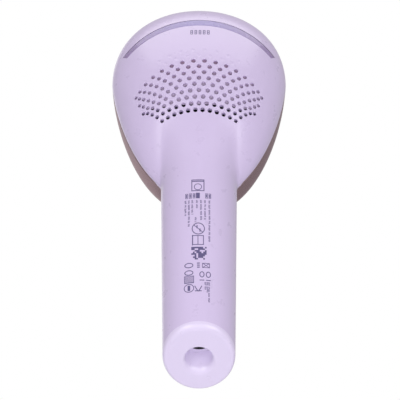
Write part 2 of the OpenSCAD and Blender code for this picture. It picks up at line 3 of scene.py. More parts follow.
import bpy
import numpy as np
from bpy.props import FloatProperty, FloatVectorProperty, IntProperty, PointerProperty
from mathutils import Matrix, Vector


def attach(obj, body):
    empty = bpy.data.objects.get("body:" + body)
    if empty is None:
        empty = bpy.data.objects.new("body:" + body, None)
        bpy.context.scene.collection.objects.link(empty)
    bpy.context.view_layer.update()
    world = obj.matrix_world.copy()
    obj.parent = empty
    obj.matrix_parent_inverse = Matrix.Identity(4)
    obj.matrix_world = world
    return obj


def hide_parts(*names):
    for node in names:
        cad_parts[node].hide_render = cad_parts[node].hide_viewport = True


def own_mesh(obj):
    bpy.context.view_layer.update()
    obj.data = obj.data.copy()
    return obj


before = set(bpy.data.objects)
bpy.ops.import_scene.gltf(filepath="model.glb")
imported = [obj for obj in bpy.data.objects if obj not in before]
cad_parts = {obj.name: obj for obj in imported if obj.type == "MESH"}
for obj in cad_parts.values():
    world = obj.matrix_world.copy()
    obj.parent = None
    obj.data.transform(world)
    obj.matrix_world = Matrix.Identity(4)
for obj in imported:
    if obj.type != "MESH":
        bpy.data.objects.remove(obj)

bl_info = {
    "name": "Light Hair Remover",
    "version": (1, 0, 0),
    "blender": (4, 5, 0),
    "location": "3D View > Sidebar > Hair Remover",
    "description": "Builds the shells, controls and finishes of a flash lamp hair remover",
    "category": "Add Mesh",
}

MM = 0.001

# ---- Sizes shared by the pieces, in millimetres ----

R_LOW, R_TOP, CONE_LOW, CONE_TOP = 16.8, 18.7, -14.0, 96.0
HALF_W, MID_Z, TOP_Z, TIP_Z = 43.5, 142.0, 183.0, 78.8
OUT_N, OUT_P, OUT_Q = 2.15, 1.45, 0.47
DOME, DOME_Z, DOME_N = 27.0, 131.0, 2.1
RIDGE_LOW, RIDGE_HIGH = 100.0, 145.0
SEAM_GAP, COVER_DEPTH, COVER_N = 0.8, 37.2, 3.0
COLLAR_W, COLLAR_H, WINDOW_Z = 29.0, 21.0, 138.0
NOSE_Y = -SEAM_GAP - COVER_DEPTH
SEAM_Y, CAP_T, FRONT_TOP = -6.0, 2.6, 92.0
STRIP_R, STRIP_W, STRIP_TAPER, STRIP_SPAN = 47.8, 4.1, 5.0, 49.0
STRIP_Z = TOP_Z - 15.75 - STRIP_R
SLANT, END_DROP = math.radians(30), 1.6
INLET_R, BARREL_R, SEAT_Z, FUNNEL_H, CAP_TOP = 6.5, 3.3, 4.0, 0.4, 8.8
TRIGGER_Z, CONFIRM_Z, LENS_Z, POWER_Z = 68.5, 47.0, 33.5, 18.5
FAN_Z = 129.0


def handle_r(z):
    return R_LOW + (R_TOP - R_LOW) * (z - CONE_LOW) / (CONE_TOP - CONE_LOW)


def sign_pow(v, e):
    return np.sign(v) * np.abs(v) ** e


def outline_w(z, g=0.0):
    """Half width of the head's outline at height z, grown by g."""
    up = np.clip((z - MID_Z) / (TOP_Z + g - MID_Z), 0, 1)
    down = np.clip((MID_Z - z) / (MID_Z + g - TIP_Z), 0, 1)
    high = (1 - up**OUT_N) ** (1 / OUT_N)
    low = (1 - down**OUT_P) ** OUT_Q
    return (HALF_W + g) * np.where(z >= MID_Z, high, low)


def dome_y(z, g=0.0):
    """Depth of the vented back on its middle line."""
    up = np.clip((z - DOME_Z) / (TOP_Z + g - DOME_Z), 0, 1)
    down = np.clip((DOME_Z - z) / (DOME_Z + g - TIP_Z), 0, 1)
    return (DOME + g) * np.where(z >= DOME_Z, (1 - up**DOME_N) ** (1 / DOME_N), (1 - down**1.6) ** 0.9)


def ridge(z):
    t = np.clip((z - RIDGE_LOW) / (RIDGE_HIGH - RIDGE_LOW), 0, 1)
    return (1 + np.cos(np.pi * t)) / 2


def back_y(x, z, g=0.0):
    """The back's surface, where the dome and the handle's ridge flow into each other."""
    w = np.maximum(outline_w(z, g), 0.01)
    dome = dome_y(z, g) * np.sqrt(np.clip(1 - (x / w) ** 2, 0, 1))
    rounded = ridge(z) * np.sqrt(np.clip((handle_r(z) + g) ** 2 - x * x, 0, None))
    return (dome**4 + rounded**4) ** 0.25


def back_w(z, g=0.0):
    return np.where(z < MID_Z, np.maximum(outline_w(z, g), handle_r(z) + g), outline_w(z, g))


def outline_point(u, g=0.0):
    c, s = np.cos(u), np.sin(u)
    up = np.abs(np.where(c >= 0, c, 0))
    down = np.abs(np.where(c < 0, c, 0))
    x = np.where(c >= 0, sign_pow(s, 2 / OUT_N), sign_pow(s, 2 * OUT_Q)) * (HALF_W + g)
    z = MID_Z + (TOP_Z + g - MID_Z) * up ** (2 / OUT_N) - (MID_Z + g - TIP_Z) * down ** (2 / OUT_P)
    return x, z


def collar_point(u, half_w, half_h, power=0.5):
    return half_w * sign_pow(np.sin(u), power), WINDOW_Z + half_h * sign_pow(np.cos(u), power)


def end_z(y, depth):
    """Height of the slanted end face at y, moved inwards by depth."""
    return (depth - END_DROP + y * math.sin(SLANT)) / math.cos(SLANT)


def smooth(t):
    t = np.clip(t, 0, 1)
    return t * t * (3 - 2 * t)


def vent_centres(first, last):
    """Middles and radii of the vents in rows first to last."""
    made = []
    for row in range(first, last):
        count = {9: 7, 10: 8}.get(row, 12 + row if row < 5 else 15 + (row + 1) % 2)
        bend = 37.5 + 8 * max(0, math.cos(math.radians(22.5 * row)))
        for i in range(count):
            k = i - (count - 1) / 2
            x = (3.5 + 0.245 * row) * k * (1 - (0.0025 + 0.00025 * row) * k * k)
            z = 116.5 + 3.22 * row - bend + math.sqrt(bend * bend - x * x)
            made.append((x, z, 1.15 - 0.35 * (abs(k) / 7.5) ** 1.5))
    return made


# ---- Modelling helpers ----


def clear():
    if bpy.context.mode != "OBJECT":
        bpy.ops.object.mode_set(mode="OBJECT")
    bpy.ops.object.select_all(action="DESELECT")


def pick(obj):
    clear()
    obj.select_set(True)
    bpy.context.view_layer.objects.active = obj
    return obj


def named(name):
    obj = bpy.context.object
    obj.name = name
    obj.data.name = name
    return obj


def settle(obj):
    """Puts the object's place into its mesh."""
    pick(obj)
    bpy.ops.object.transform_apply(location=True, rotation=True, scale=True)
    return obj


def editing(obj, *steps):
    """Runs each step in edit mode with everything selected before it."""
    pick(obj)
    bpy.ops.object.mode_set(mode="EDIT")
    for step in steps:
        bpy.ops.mesh.select_all(action="SELECT")
        step()
    bpy.ops.object.mode_set(mode="OBJECT")
    return obj


def weld(obj, gap=0.00001):
    return editing(obj, lambda: bpy.ops.mesh.remove_doubles(threshold=gap))


def outward(obj):
    return editing(obj, lambda: bpy.ops.mesh.normals_make_consistent(inside=False))


def flip(obj):
    return editing(obj, lambda: bpy.ops.mesh.flip_normals())


def apply(obj, kind, **values):
    """Adds one modifier, sets it and applies it."""
    pick(obj)
    m = obj.modifiers.new(kind.title(), kind)
    for key, value in values.items():
        setattr(m, key, value)
    bpy.ops.object.modifier_apply(modifier=m.name)
    return obj


def face(obj, direction):
    """Turns an open sheet so that its furthest face in the direction looks that way."""
    way = Vector(direction)
    far = max(obj.data.polygons, key=lambda p: p.center.dot(way))
    return flip(obj) if far.normal.dot(way) < 0 else obj


def thicken(obj, depth):
    return apply(obj, "SOLIDIFY", thickness=depth * MM, offset=-1, use_even_offset=True)


def round_edges(obj, width, steps=3, angle=35):
    return apply(obj, "BEVEL", width=width * MM, segments=steps, limit_method="ANGLE",
                 angle_limit=math.radians(angle), use_clamp_overlap=True, harden_normals=False)


def cut(obj, *tools):
    """Takes each tool away from the object and deletes the tool."""
    for tool in tools:
        apply(obj, "BOOLEAN", operation="DIFFERENCE", object=tool, solver="MANIFOLD")
        bpy.data.objects.remove(tool)
    if len(obj.data.polygons) < 6:
        raise RuntimeError(obj.name + " was cut away")
    return obj


def shade(obj, angle=30):
    pick(obj)
    bpy.ops.object.shade_smooth_by_angle(angle=math.radians(angle))
    apply(obj, "WEIGHTED_NORMAL", keep_sharp=True, weight=50)
    return obj


def grid(name, columns, rows, place, around=False):
    """A grid whose points go where place(u, v) says, in millimetres, with u and v from 0 to 1."""
    clear()
    bpy.ops.mesh.primitive_grid_add(x_subdivisions=columns, y_subdivisions=rows, size=2)
    obj = named(name)
    n = len(obj.data.vertices)
    co = np.empty(n * 3)
    obj.data.vertices.foreach_get("co", co)
    co = co.reshape(-1, 3)
    points = place((co[:, 0] + 1) / 2, (co[:, 1] + 1) / 2)
    obj.data.vertices.foreach_set("co", (np.stack(points, 1) * MM).ravel())
    obj.data.update()
    return weld(obj) if around else obj


def flat_outline(name, points, y, depth):
    """A plate drawn by points in x and z whose back is at y and which reaches depth towards the skin."""
    clear()
    bpy.ops.mesh.primitive_circle_add(vertices=len(points), radius=1, fill_type="NGON")
    obj = named(name)
    for v, p in zip(obj.data.vertices, points):
        v.co = Vector((p[0], y, p[1])) * MM
    editing(obj, lambda: bpy.ops.mesh.extrude_region_move(
        TRANSFORM_OT_translate={"value": (0, -depth * MM, 0)}))
    return outward(obj)


def rounded_points(w, h, r, x=0.0, z=0.0, steps=8):
    """Corner points of a rectangle with round corners."""
    made = []
    for cx, cz, start in ((1, 1, 0), (-1, 1, 90), (-1, -1, 180), (1, -1, 270)):
        for i in range(steps + 1):
            a = math.radians(start + 90 * i / steps)
            made.append((x + cx * (w / 2 - r) + r * math.cos(a), z + cz * (h / 2 - r) + r * math.sin(a)))
    return made


def rod(name, x, z, y_front, y_back, r, sides=48):
    clear()
    bpy.ops.mesh.primitive_cylinder_add(
        vertices=sides, radius=r * MM, depth=(y_back - y_front) * MM, rotation=(math.pi / 2, 0, 0),
        location=(x * MM, (y_back + y_front) / 2 * MM, z * MM))
    return settle(named(name))


def ring_plate(name, y_back, depth, outer, inner, steps=8):
    """Oblong ring about the window's axis."""
    obj = flat_outline(name, rounded_points(*outer, z=WINDOW_Z, steps=steps), y_back, depth)
    tool = flat_outline("tool", rounded_points(*inner, z=WINDOW_Z, steps=steps), y_back + 1, depth + 2)
    return cut(obj, tool)


def joined(name, parts):
    clear()
    for part in parts:
        part.select_set(True)
    bpy.context.view_layer.objects.active = parts[0]
    bpy.ops.object.join()
    return named(name)


def finished(obj, body, material, slot, *nodes):
    """Gives the piece its finish and ties it to its body."""
    obj.data.materials.clear()
    obj.data.materials.append(material)
    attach(obj, body)
    if nodes:
        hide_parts(*nodes)
    return obj


# ---- Finishes ----


class Nodes:
    """A material's node tree, with short ways to add to it."""

    def __init__(self, name):
        self.material = bpy.data.materials.new(name)
        self.material.use_nodes = True
        self.tree = self.material.node_tree
        self.shader = self.tree.nodes["Principled BSDF"]
        self.place = self.add("ShaderNodeTexCoord").outputs["Object"]

    def add(self, kind, **inputs):
        node = self.tree.nodes.new(kind)
        for key, value in inputs.items():
            node.inputs[key.replace("_", " ")].default_value = value
        return node

    def link(self, a, b):
        self.tree.links.new(a, b)
        return b

    def shift(self, scale=(1, 1, 1), turn=(0, 0, 0)):
        node = self.add("ShaderNodeMapping")
        node.inputs["Scale"].default_value = scale
        node.inputs["Rotation"].default_value = turn
        self.link(self.place, node.inputs["Vector"])
        return node.outputs["Vector"]

    def noise(self, scale, detail=2.0, rough=0.5, source=None):
        node = self.add("ShaderNodeTexNoise", Scale=scale, Detail=detail, Roughness=rough)
        self.link(source or self.place, node.inputs["Vector"])
        return node.outputs["Fac"]

    def span(self, value, low, high, start=0.3, end=0.7):
        node = self.add("ShaderNodeMapRange")
        for key, number in (("From Min", start), ("From Max", end), ("To Min", low), ("To Max", high)):
            node.inputs[key].default_value = number
        self.link(value, node.inputs["Value"])
        return node.outputs["Result"]

    def maths(self, how, a, b=0.0):
        node = self.add("ShaderNodeMath")
        node.operation = how
        for i, v in enumerate((a, b)):
            if isinstance(v, (int, float)):
                node.inputs[i].default_value = v
            else:
                self.link(v, node.inputs[i])
        return node.outputs[0]

    def axis(self, name):
        node = self.add("ShaderNodeSeparateXYZ")
        self.link(self.place, node.inputs[0])
        return node.outputs[name]

    def blend(self, fac, a, b):
        node = self.tree.nodes.new("ShaderNodeMix")
        node.data_type = "RGBA"
        self.link(fac, node.inputs["Factor"])
        for key, colour in (("A", a), ("B", b)):
            socket = [s for s in node.inputs if s.name == key and s.type == "RGBA"][0]
            if hasattr(colour, "links"):
                self.link(colour, socket)
            else:
                socket.default_value = (*colour, 1)
        return [s for s in node.outputs if s.type == "RGBA"][0]

    def bump(self, height, strength, depth):
        node = self.add("ShaderNodeBump", Strength=strength, Distance=depth)
        self.link(height, node.inputs["Height"])
        self.link(node.outputs[0], self.shader.inputs["Normal"])

    def set(self, **values):
        for key, value in values.items():
            self.shader.inputs[key.replace("_", " ")].default_value = value

    def colour(self, socket):
        self.link(socket, self.shader.inputs["Base Color"])

    def roughness(self, socket):
        self.link(socket, self.shader.inputs["Roughness"])


def tint(c, k):
    return tuple(min(1.0, v * k) for v in c)


def moulded(name, colour, rough=0.36, grain=1800.0, depth=0.00001, spread=0.05, coat=0.0, scatter=0.0):
    """Moulded plastic: a fine spark-eroded grain, faint flow clouds and polish that varies a little."""
    n = Nodes(name)
    clouds = n.span(n.noise(26.0, 3.0), 0.0, 1.0)
    n.colour(n.blend(clouds, tint(colour, 1 - spread), tint(colour, 1 + spread)))
    n.roughness(n.span(n.noise(140.0, 4.0, 0.6), rough - 0.05, rough + 0.06))
    n.bump(n.noise(grain, 3.0, 0.6), 0.35, depth)
    n.set(Coat_Weight=coat, Coat_Roughness=0.16, IOR=1.49, Subsurface_Weight=scatter)
    if scatter:
        n.shader.inputs["Subsurface Radius"].default_value = (0.0012, 0.001, 0.0014)
        n.shader.inputs["Subsurface Scale"].default_value = 1.0
    return n.material


def metallic(name, colour, rough=0.3, stretch=(1, 1, 1), grain=900.0, depth=0.000006, spread=0.1):
    """Metal with drawn or brushed lines and faint tarnish."""
    n = Nodes(name)
    lines = n.noise(grain, 4.0, 0.65, n.shift(stretch))
    tarnish = n.span(n.noise(90.0, 3.0), 0.0, 1.0)
    n.colour(n.blend(tarnish, tint(colour, 1 - spread), tint(colour, 1 + spread / 2)))
    n.roughness(n.span(lines, rough - 0.08, rough + 0.1))
    n.bump(lines, 0.4, depth)
    n.set(Metallic=1.0)
    return n.material


def clear_part(name, colour, rough=0.06, through=1.0, ior=1.49):
    """Clear glass or plastic with faint waviness and finger haze."""
    n = Nodes(name)
    haze = n.noise(180.0, 4.0, 0.6)
    n.colour(n.blend(n.span(haze, 0, 1), tint(colour, 0.97), tint(colour, 1.03)))
    n.roughness(n.span(haze, rough, rough + 0.08))
    n.bump(n.noise(60.0, 2.0), 0.15, 0.00002)
    n.set(Transmission_Weight=through, IOR=ior)
    return n.material


def lilac_finish(name, colour, rough):
    """The satin lilac of the shells: pearl clouding, a fine grain and a soft lacquer."""
    n = Nodes(name)
    pearl = n.span(n.noise(9.0, 2.0), 0.0, 1.0)
    base = n.blend(pearl, tint(colour, 0.985), tint(colour, 1.015))
    specks = n.span(n.noise(5200.0, 1.0), 0.0, 1.0, 0.45, 0.75)
    n.colour(n.blend(specks, base, tint(colour, 1.05)))
    n.roughness(n.span(n.noise(160.0, 4.0, 0.6), rough - 0.04, rough + 0.05))
    n.bump(n.noise(2400.0, 2.0, 0.6), 0.25, 0.000006)
    n.set(Coat_Weight=0.5, Coat_Roughness=0.2, IOR=1.5)
    return n.material


def rose_finish(name, colour):
    """Rose-brown metallic paint with flakes."""
    n = Nodes(name)
    cells = n.add("ShaderNodeTexVoronoi", Scale=5200.0)
    n.link(n.place, cells.inputs["Vector"])
    tone = n.add("ShaderNodeSeparateColor")
    n.link(cells.outputs["Color"], tone.inputs[0])
    flakes = n.span(tone.outputs[0], 0.0, 1.0, 0.1, 0.95)
    n.colour(n.blend(flakes, tint(colour, 0.86), tint(colour, 1.16)))
    n.roughness(n.span(tone.outputs[1], 0.26, 0.42, 0, 1))
    n.bump(n.noise(1500.0, 2.0), 0.2, 0.000008)
    n.set(Metallic=0.75)
    n.shader.inputs["Specular Tint"].default_value = (0.66, 0.53, 0.57, 1)
    return n.material


def light_bar_finish(name, middle, end):
    """Translucent violet light guide, deeper in colour towards its thin ends."""
    n = Nodes(name)
    reach = n.maths("ABSOLUTE", n.axis("X"))
    n.colour(n.blend(n.span(reach, 0, 1, 0.004, 0.035), middle, end))
    n.roughness(n.span(n.noise(220.0, 3.0), 0.2, 0.32))
    n.bump(n.noise(700.0, 2.0), 0.2, 0.00001)
    n.set(Subsurface_Weight=0.35, Coat_Weight=0.4, Coat_Roughness=0.1)
    n.shader.inputs["Subsurface Radius"].default_value = (0.0015, 0.0012, 0.002)
    n.shader.inputs["Subsurface Scale"].default_value = 1.0
    return n.material


def filter_finish(name, low, high):
    """Woven dust cloth, violet grey below and warmer towards the top."""
    n = Nodes(name)
    height = n.span(n.axis("Z"), 0, 1, 0.128, 0.15)
    weave = n.maths("MULTIPLY", n.maths("SINE", n.maths("MULTIPLY", n.axis("X"), 9000.0)),
                    n.maths("SINE", n.maths("MULTIPLY", n.axis("Z"), 9000.0)))
    tone = n.blend(height, low, high)
    n.colour(n.blend(n.span(weave, 0, 0.25, -1, 1), tone, (0.08, 0.06, 0.08)))
    n.roughness(n.span(n.noise(300.0), 0.7, 0.85))
    n.bump(weave, 0.5, 0.0001)
    return n.material


def ink_finish(name, colour):
    """Pad-printed ink: matte, a little thin where the pad lifted."""
    n = Nodes(name)
    thin = n.span(n.noise(1900.0, 3.0, 0.7), 0.0, 1.0, 0.45, 0.8)
    n.colour(n.blend(thin, colour, tint(colour, 1.35)))
    n.roughness(n.span(n.noise(900.0), 0.45, 0.6))
    n.bump(n.noise(2600.0), 0.3, 0.000006)
    return n.material


def board_finish(name):
    """Green solder mask over copper tracks."""
    n = Nodes(name)
    brick = n.add("ShaderNodeTexBrick", Scale=260.0)
    brick.inputs["Color1"].default_value = (0.01, 0.13, 0.05, 1)
    brick.inputs["Color2"].default_value = (0.012, 0.17, 0.06, 1)
    brick.inputs["Mortar"].default_value = (0.03, 0.3, 0.1, 1)
    brick.inputs["Mortar Size"].default_value = 0.09
    n.link(n.shift((1, 1, 1), (math.pi / 2, 0, 0)), brick.inputs["Vector"])
    n.colour(brick.outputs["Color"])
    n.roughness(n.span(n.noise(300.0), 0.25, 0.4))
    n.bump(brick.outputs["Fac"], 0.4, 0.00003)
    n.set(Coat_Weight=0.4)
    return n.material


def wound_finish(name, colour, axis="Z", pitch=0.0004):
    """Enamelled wire wound side by side, with painted shade between the turns and painted highlight on their
    crests.
    """
    n = Nodes(name)
    turns = n.maths("SINE", n.maths("MULTIPLY", n.axis(axis), 2 * math.pi / pitch))
    # The colour is darker in the grooves between turns and lighter on their crests: painted shade and painted
    # highlight.
    n.colour(n.blend(n.span(turns, 0, 1, -1, 1), tint(colour, 0.55), tint(colour, 1.15)))
    n.roughness(n.span(n.noise(400.0), 0.25, 0.4))
    n.bump(turns, 0.8, 0.0001)
    n.set(Metallic=0.85, Coat_Weight=0.5)
    return n.material


def make_finishes(look):
    """Every finish by name."""
    lilac = tuple(look.lilac)
    made = {
        "lilac": lilac_finish("satin_lilac", lilac, look.shell_rough),
        # The end cap's finish is the shell lilac made lighter and whiter: painted light for the brightly lit
        # end face.
        "lilac_painted_lit": lilac_finish("satin_lilac_painted_lit", tuple(look.face), look.shell_rough),
        "rose": rose_finish("rose_metallic", tuple(look.rose)),
        "light_bar": light_bar_finish("violet_light_guide", tuple(look.guide_middle), tuple(look.guide_end)),
        "ink": ink_finish("violet_ink", tuple(look.ink)),
        "white": moulded("white_plastic", (0.78, 0.76, 0.82), 0.34, coat=0.2),
        "pale": moulded("pale_plastic", (0.7, 0.68, 0.72), 0.42, 1400.0, 0.00002),
        "trigger": moulded("violet_button", (0.42, 0.31, 0.62), 0.3, 2200.0, coat=0.3),
        "key": moulded("pearl_button", (0.76, 0.72, 0.84), 0.3, 2200.0, coat=0.3),
        "black": moulded("black_plastic", (0.012, 0.012, 0.015), 0.48, 1200.0, 0.00003, 0.2),
        "dark": moulded("smoke_plastic", (0.035, 0.034, 0.04), 0.4, 1200.0, 0.00002, 0.2),
        "duct": moulded("duct_plastic", (0.34, 0.28, 0.42), 0.5, 1000.0, 0.00003),
        # Near-black finish of the seam tongue: painted shade in the gap between the shells.
        "tongue": moulded("seam_painted_shade", (0.03, 0.018, 0.035), 0.6, 1500.0, 0.00003, 0.2),
        "rubber": moulded("black_rubber", (0.02, 0.02, 0.022), 0.72, 1500.0, 0.00005, 0.25),
        "silicone": moulded("red_silicone", (0.34, 0.05, 0.03), 0.55, 900.0, 0.00004, 0.1, scatter=0.2),
        "phenolic": moulded("heatproof_plastic", (0.72, 0.66, 0.54), 0.6, 900.0, 0.00005, 0.08),
        "sleeve": moulded("blue_sleeve", (0.02, 0.035, 0.15), 0.3, 800.0, 0.00002, 0.12, coat=0.3),
        "red_wire": moulded("red_insulation", (0.5, 0.02, 0.02), 0.4, 700.0, 0.00002, 0.1),
        "flat_cable": moulded("flat_cable", (0.42, 0.42, 0.46), 0.45, 700.0, 0.00003, 0.1),
        "steel": metallic("zinc_steel", (0.56, 0.57, 0.6), 0.3),
        "spring": metallic("spring_steel", (0.5, 0.51, 0.54), 0.24, grain=1600.0),
        "alloy": metallic("brushed_alloy", (0.66, 0.67, 0.69), 0.34, (1, 1, 12), 260.0),
        "mirror": metallic("polished_alloy", (0.86, 0.87, 0.88), 0.12, grain=500.0, spread=0.03),
        "gold": metallic("gold_plate", (0.83, 0.6, 0.22), 0.22, grain=1500.0),
        "bezel": metallic("pale_gold_bezel", (0.72, 0.5, 0.36), 0.26, (1, 1, 1), 1400.0, spread=0.06),
        "copper": wound_finish("copper_winding", (0.72, 0.32, 0.14)),
        "igniter": wound_finish("varnished_winding", (0.3, 0.16, 0.08), "Y", 0.0007),
        "board": board_finish("green_board"),
        "quartz": clear_part("quartz_tube", (0.96, 0.96, 0.98), 0.03, 1.0, 1.46),
        "amber": clear_part("amber_filter", (0.95, 0.42, 0.06), 0.05, 0.9, 1.52),
        "window": clear_part("clear_window", (0.95, 0.97, 0.98), 0.04, 1.0, 1.5),
        "lens": clear_part("indicator_lens", (0.8, 0.82, 0.95), 0.22, 0.45),
        "lamp_chip": moulded("light_chip", (0.85, 0.8, 0.55), 0.3, 1500.0, 0.00001, 0.08, scatter=0.2),
        "filter": filter_finish("dust_cloth", (0.42, 0.34, 0.47), (0.36, 0.21, 0.31)),
    }
    return made


finishes = {}


# ---- Settings ----


class HairRemoverSizes(bpy.types.PropertyGroup):
    wall: FloatProperty(name="Shell wall", description="Thickness of the outer shells", default=2.2 * MM,
                        min=1.2 * MM, max=2.6 * MM, unit="LENGTH")
    edge: FloatProperty(name="End edge", description="Rounding of the edge of the slanted end face",
                        default=2.0 * MM, min=0.5 * MM, max=2.4 * MM, unit="LENGTH")
    columns: IntProperty(name="Columns", description="Columns of faces across the back", default=150,
                         min=80, max=220)
    rows: IntProperty(name="Rows", description="Rows of faces up the back", default=170, min=100, max=240)


class HairRemoverLook(bpy.types.PropertyGroup):
    lilac: FloatVectorProperty(name="Shell", description="Colour of the lilac shells", subtype="COLOR",
                               size=3, min=0, max=1, default=(0.585, 0.49, 0.71))
    # The end face colour is a lighter copy of the shell lilac: painted light for the end face lit from below,
    # not a different plastic.
    face: FloatVectorProperty(name="End face", description="Colour of the end cap", subtype="COLOR", size=3,
                              min=0, max=1, default=(0.68, 0.60, 0.80))
    rose: FloatVectorProperty(name="Cover", description="Colour of the head cover", subtype="COLOR", size=3,
                              min=0, max=1, default=(0.33, 0.235, 0.25))
    guide_middle: FloatVectorProperty(name="Light bar middle", description="Colour of the light bar's middle",
                                      subtype="COLOR", size=3, min=0, max=1, default=(0.30, 0.25, 0.50))
    guide_end: FloatVectorProperty(name="Light bar ends", description="Colour of the light bar's thin ends",
                                   subtype="COLOR", size=3, min=0, max=1, default=(0.30, 0.22, 0.40))
    ink: FloatVectorProperty(name="Ink", description="Colour of the printed marks", subtype="COLOR", size=3,
                             min=0, max=1, default=(0.10, 0.08, 0.19))
    shell_rough: FloatProperty(name="Shell roughness", description="Roughness of the lilac shells",
                               default=0.3, min=0.05, max=0.9, subtype="FACTOR")


# ---- Pieces ----


class MESH_OT_back_shell(bpy.types.Operator):
    """Vented back of the head and back half of the handle, in one moulding"""
    bl_idname = "mesh.hair_remover_back_shell"
    bl_label = "Back Shell"

    def execute(self, context):
        size = context.scene.hair_remover_sizes
        rows = size.rows

        def place(u, v):
            split = 0.26, 0.66
            a = np.clip(v / split[0], 0, 1)
            b = np.clip((v - split[0]) / (split[1] - split[0]), 0, 1)
            c = np.clip((v - split[1]) / (1 - split[1]), 0, 1)
            high = MID_Z + (TOP_Z - MID_Z) * np.sin(c * np.pi / 2) ** (2 / OUT_N)
            level = np.where(v <= split[0], 62 * a, np.where(v <= split[1], 62 + (MID_Z - 62) * b, high))
            edge = np.degrees(np.arcsin(SEAM_Y / handle_r(level))) * (1 - smooth((level - 85.5) / 4))
            t = np.radians(edge + (180 - 2 * edge) * u)
            z = level
            for _ in range(3):
                low = end_z(handle_r(z) * np.sin(t), CAP_T)
                z = np.where(v <= split[0], low + (62 - low) * a, level)
            w = np.where(c > 0, HALF_W * np.cos(c * np.pi / 2) ** (2 / OUT_N), back_w(z))
            x = w * np.cos(t)
            y = np.where(t > 0, back_y(x, z), 0)
            y = np.where(np.sin(t) < 0, handle_r(z) * np.sin(t), y)
            y = np.where((z < 86) & (np.sin(t) >= 0), np.sqrt(np.clip(handle_r(z) ** 2 - x * x, 0, None)), y)
            lip = 0.9
            low = np.clip(1 - np.clip(y, 0, lip) / lip, 0, 1)
            pull = lip * (1 - np.sqrt(1 - low**2)) * smooth((level - 87) / 4)
            away = np.maximum(np.hypot(x, z - 122), 1)
            return x - pull * x / away, y, z - pull * (z - 122) / away

        obj = grid("back_shell", size.columns, rows, place, around=True)
        face(obj, (0, 1, 0))
        apply(obj, "SOLIDIFY", thickness=size.wall, offset=-1, use_even_offset=True)
        vents = [rod("vent", x, z, 5, 34, r, 20) for x, z, r in vent_centres(0, 9)]
        dimples = []
        for x, z, r in vent_centres(9, 11):
            y = float(back_y(np.float64(x), np.float64(z)))
            step = 0.1
            slope_x = float(back_y(np.float64(x + step), np.float64(z)) - y) / step
            slope_z = float(back_y(np.float64(x), np.float64(z + step)) - y) / step
            normal = Vector((-slope_x, 1, -slope_z)).normalized()
            at = Vector((x, y, z)) + normal * 4.2
            clear()
            bpy.ops.mesh.primitive_uv_sphere_add(
                segments=32, ring_count=48, radius=4.33 * MM, location=at * MM)
            dimples.append(settle(named("dimple")))
        slot = strip_piece("slot", 0.12, lambda x, z: 1 + 0 * x, 34, out=True)
        cut(obj, joined("vents", vents), slot)
        for dimple in dimples:
            cut(obj, dimple)
        shade(obj, 38)
        finished(obj, "device", finishes["lilac"], "lilac_shell", "rear_housing")
        return {"FINISHED"}


def strip_piece(name, grow, surface, depth, out=False):
    """The light bar's curved outline as a solid below the given surface."""
    half_span = math.radians(STRIP_SPAN + grow)
    outer_r = STRIP_R + STRIP_W / 2 + grow
    inner_r = STRIP_R - STRIP_W / 2 + STRIP_TAPER - grow

    def place(u, v):
        a = (u * 2 - 1) * half_span
        # the inner arc's centre lies lower, so its radius seen from the outer centre changes with the angle
        near = -STRIP_TAPER * np.cos(a) + np.sqrt(inner_r**2 - (STRIP_TAPER * np.sin(a)) ** 2)
        r = near + (outer_r - near) * v
        x, z = r * np.sin(a), STRIP_Z + r * np.cos(a)
        return x, surface(x, z), z

    obj = grid(name, 120, 6, place)
    face(obj, (0, 1, 0))
    if out:
        editing(obj, lambda: bpy.ops.mesh.extrude_region_move(
            TRANSFORM_OT_translate={"value": (0, depth * MM, 0)}))
        return outward(obj)
    return thicken(obj, depth)


class MESH_OT_light_bar(bpy.types.Operator):
    """Curved light guide across the top of the back"""
    bl_idname = "mesh.hair_remover_light_bar"
    bl_label = "Light Bar"

    def execute(self, context):
        obj = strip_piece("light_bar", 0, lambda x, z: back_y(x, z) - 0.05, 3.0)
        round_edges(obj, 0.22, 2, 50)
        shade(obj)
        finished(obj, "device", finishes["light_bar"], "light_guide", "ready_light_guide")
        return {"FINISHED"}


class MESH_OT_handle_front(bpy.types.Operator):
    """Front half of the handle with its openings for the controls"""
    bl_idname = "mesh.hair_remover_handle_front"
    bl_label = "Handle Front"

    def execute(self, context):
        def place(u, v):
            z = v * FRONT_TOP
            for _ in range(3):
                r = handle_r(z)
                edge = np.arcsin((SEAM_Y - 0.05) / r)
                t = edge - (np.pi + 2 * edge) * u
                low = end_z(r * np.sin(t), CAP_T)
                z = low + (FRONT_TOP - low) * v
            r = handle_r(z)
            return r * np.cos(t), r * np.sin(t), z

        obj = grid("handle_front", 96, 110, place)
        face(obj, (0, -1, 0))
        thicken(obj, 2.2)
        gap = 0.3
        cut(obj,
            flat_outline("tool", rounded_points(14 + 2 * gap, 17 + 2 * gap, 4, z=TRIGGER_Z, steps=12), 0, 30),
            flat_outline("tool", rounded_points(4.6, 18.2, 2.2, z=LENS_Z, steps=12), 0, 30),
            rod("tool", 0, CONFIRM_Z, -30, 0, 3.4 + gap, 64),
            rod("tool", 0, POWER_Z, -30, 0, 5 + gap, 64))
        shade(obj)
        finished(obj, "device", finishes["lilac"], "lilac_shell", "front_housing")
        return {"FINISHED"}


